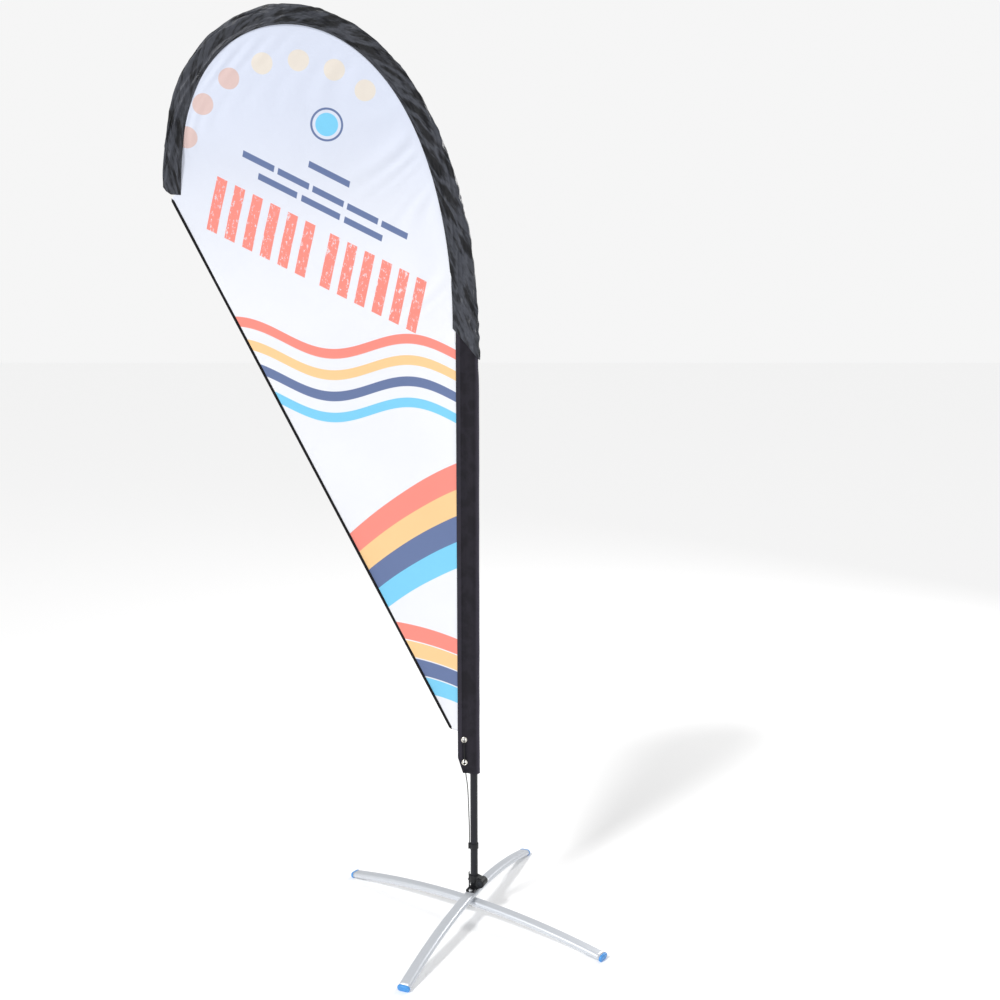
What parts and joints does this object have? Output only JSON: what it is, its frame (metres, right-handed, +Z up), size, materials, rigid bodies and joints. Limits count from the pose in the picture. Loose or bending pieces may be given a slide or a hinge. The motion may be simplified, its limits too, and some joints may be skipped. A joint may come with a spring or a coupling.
{
  "type": "teardrop flag",
  "caption": "Feather-style teardrop flag: bent pole in a fabric sleeve, turning on a folding hinge over a crossed tube base.",
  "frame": {"origin": "on the ground, under the centre of the whole flag's box", "axes": "+Z up; the flag's cloth lies in the XZ plane, its arch towards -X; the short leg-to-leg depth runs along Y"},
  "size_m": [1.0688, 0.7556, 2.2672],
  "materials": {
    "leg_metal": "silver-grey satin paint",
    "cap_plastic": "moulded light blue",
    "chrome": "polished",
    "zinc": "zinc plated",
    "steel": "bright steel",
    "nylon": "natural nylon",
    "black_plastic": "moulded black",
    "pole_metal": "satin black",
    "fibreglass": "black fibreglass",
    "rubber": "matt",
    "nickel": "nickel plated",
    "sleeve_fabric": "shiny black polyester, wrinkled",
    "knit_fabric": "matt black knit",
    "panel_fabric": "white polyester with a printed pattern",
    "webbing": "black webbing",
    "cord_fabric": "braided black elastic"
  },
  "bodies": {
    "base": {"upper_leg": "leg_metal", "end_cap_front": "cap_plastic", "end_cap_back": "cap_plastic", "pivot_bolt": "chrome", "leg_spacer": "nylon", "pivot_washer": "zinc", "pivot_nut": "zinc", "hinge_bracket": "black_plastic", "bracket_rivet": "zinc", "hinge_pin": "steel", "hinge_pin_nut": "steel"},
    "lower_leg": {"lower_leg": "leg_metal", "end_cap_left": "cap_plastic", "end_cap_right": "cap_plastic"},
    "housing": {"swivel_housing": "black_plastic", "latch_pin": "steel", "latch_spring": "steel", "bearing_outer_race": "steel"},
    "latch": {"lock_latch": "black_plastic"},
    "rotor": {"spigot": "chrome", "spigot_nut": "zinc", "bearing_inner_race": "steel", "bearing_ball_1": "steel", "bearing_ball_2": "steel", "bearing_ball_3": "steel", "bearing_ball_4": "steel", "bearing_ball_5": "steel", "bearing_ball_6": "steel", "bearing_ball_7": "steel", "bearing_ball_8": "steel"},
    "pole": {"pole_foot_bush": "black_plastic", "pole_lower": "pole_metal", "pole_ferrule": "zinc", "pole_upper": "fibreglass", "pole_tip_cap": "rubber", "upper_sleeve": "sleeve_fabric", "lower_sleeve": "knit_fabric", "tip_pocket": "webbing", "flag_panel": "panel_fabric", "edge_binding": "webbing", "eyelet_upper": "nickel", "eyelet_lower": "nickel", "eyelet_washer_upper": "nickel", "eyelet_washer_lower": "nickel", "tension_cord": "cord_fabric", "cord_clip": "black_plastic"}
  },
  "joints": [
    {"name": "leg_fold", "type": "hinge", "parent": "base", "child": "lower_leg", "pos_m": [0.19708, 0, 0.042], "axis": [0, 0, 1], "range_deg": [-67, 94]},
    {"name": "spigot_tilt", "type": "hinge", "parent": "base", "child": "housing", "pos_m": [0.22512, 0.01356, 0.086], "axis": [0.3714, 0.9285, 0], "range_deg": [0, 90]},
    {"name": "latch_press", "type": "hinge", "parent": "housing", "child": "latch", "pos_m": [0.19257, 0.02657, 0.091], "axis": [0.3714, 0.9285, 0], "range_deg": [0, 8], "stiffness_Nm_per_rad": 0.02, "springref_deg": -17.19},
    {"name": "pole_spin", "type": "hinge", "parent": "housing", "child": "rotor", "pos_m": [0.20562, 0.02135, 0.1], "axis": [0, 0, 1], "continuous": true},
    {"name": "pole_lift", "type": "slide", "parent": "rotor", "child": "pole", "axis": [0, 0, 1], "range_m": [0, 0.155]}
  ]
}
